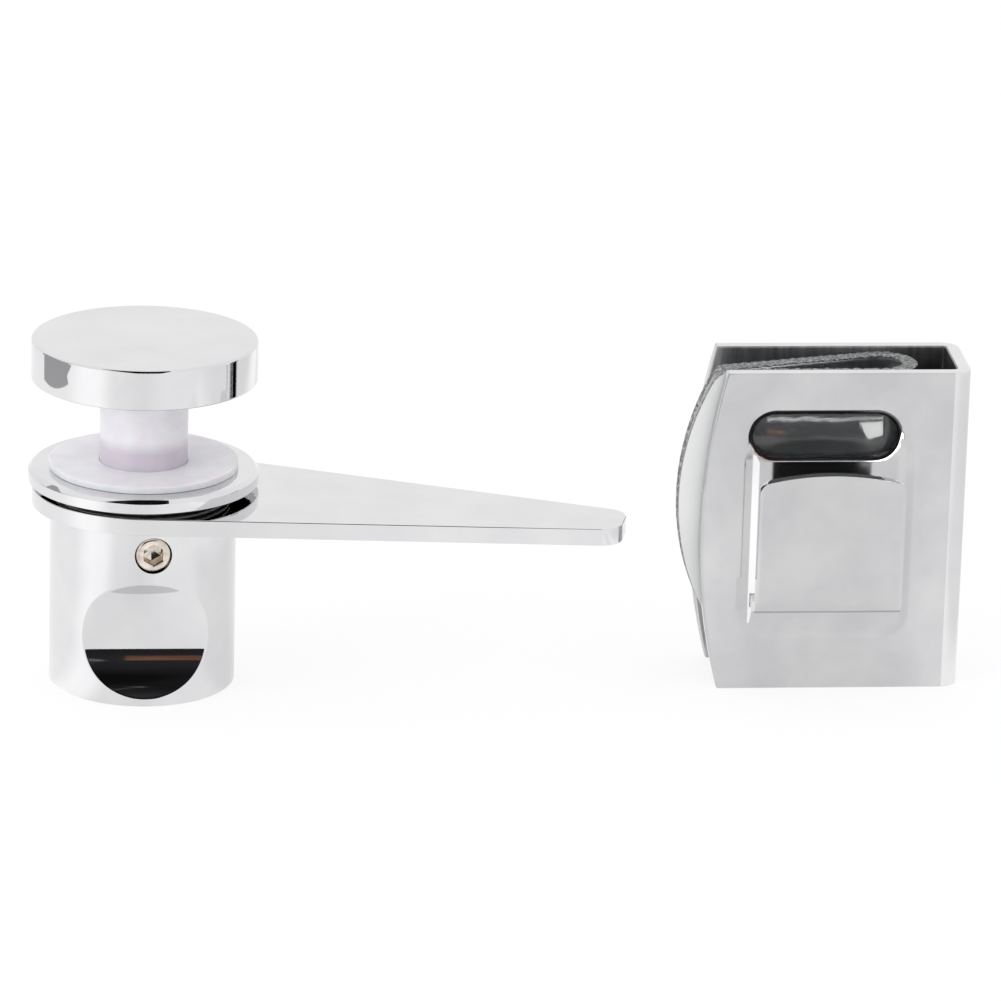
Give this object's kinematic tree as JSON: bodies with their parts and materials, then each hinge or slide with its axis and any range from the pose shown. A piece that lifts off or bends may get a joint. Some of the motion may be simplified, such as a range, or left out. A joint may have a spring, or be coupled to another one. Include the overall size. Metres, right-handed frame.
{
  "type": "glass door latch",
  "caption": "Turning lever latch for a glass door: knob with tapering lever on a through-glass mount, and a U-shaped clip keeper with a tongue.",
  "frame": {"origin": "centre of the knob's end face, which the lever half stands on", "axes": "+Z along the knob's axis from the knob to the cap disc, +X along the keeper's front plate away from the knob"},
  "size_m": [0.1249, 0.0351, 0.0474],
  "materials": {
    "polished_chrome": "mirror polished chrome plate",
    "keeper_chrome": "chrome plate, slightly softer polish with faint smudges",
    "nickel_screw": "warm nickel-plated steel",
    "zinc_stud": "zinc-plated steel",
    "milky_plastic": "translucent milky moulded plastic with a faint lilac tint",
    "nylon": "natural nylon",
    "clear_vinyl": "clear soft vinyl sheet with frosted cut edges"
  },
  "bodies": {
    "glass_mount": {"cap_disc": "polished_chrome", "cap_gasket": "milky_plastic", "hole_sleeve": "milky_plastic", "glass_washer": "milky_plastic", "stud": "zinc_stud", "flange": "polished_chrome", "thrust_washer": "nylon", "keeper_clip": "keeper_chrome", "keeper_liner": "clear_vinyl"},
    "handle": {"lever": "polished_chrome", "knob": "polished_chrome", "grub_screw": "nickel_screw"}
  },
  "joints": [
    {"name": "lever_turn", "type": "hinge", "parent": "glass_mount", "child": "handle", "pos_m": [0, 0, 0], "axis": [0, 0, 1], "continuous": true}
  ]
}
